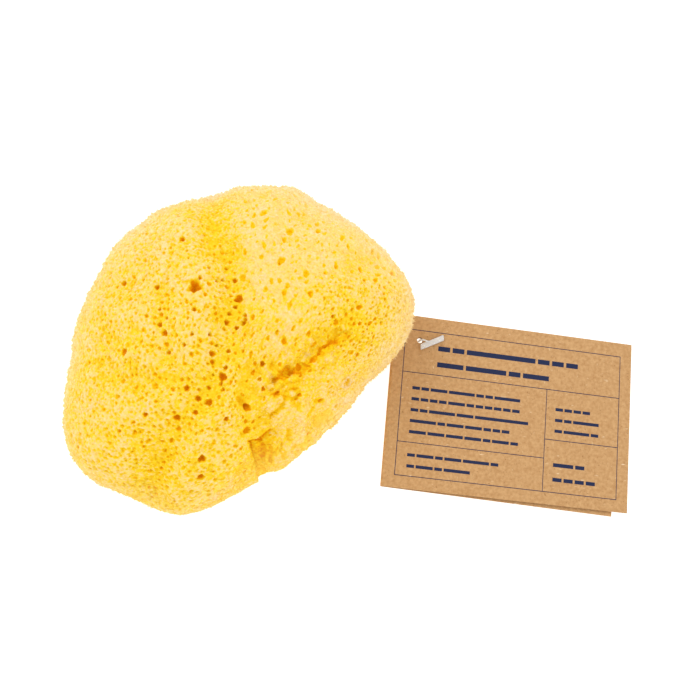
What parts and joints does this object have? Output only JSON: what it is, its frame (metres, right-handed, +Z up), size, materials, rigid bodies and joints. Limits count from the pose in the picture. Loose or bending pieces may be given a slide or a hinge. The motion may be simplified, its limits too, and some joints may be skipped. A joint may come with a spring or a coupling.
{
  "type": "sea sponge",
  "caption": "Natural yellow bath sponge, lobed and porous with a flat cut base, and a small folded kraft card tag pinned to its side.",
  "frame": {"origin": "middle of the sponge's flat cut base, on the surface it rests on", "axes": "+X to the right towards the card tag, +Y away from the viewer, +Z up"},
  "size_m": [0.1711, 0.0991, 0.0507],
  "materials": {
    "sponge_fibre": "matte soft fibre, pale at the tips and orange in the pores",
    "kraft_card": "uncoated brown kraft card with dark blue print",
    "clear_nylon": "whitish translucent plastic"
  },
  "bodies": {
    "root": {"sponge": "sponge_fibre", "tag_card": "kraft_card", "tag_fastener": "clear_nylon"}
  },
  "joints": []
}
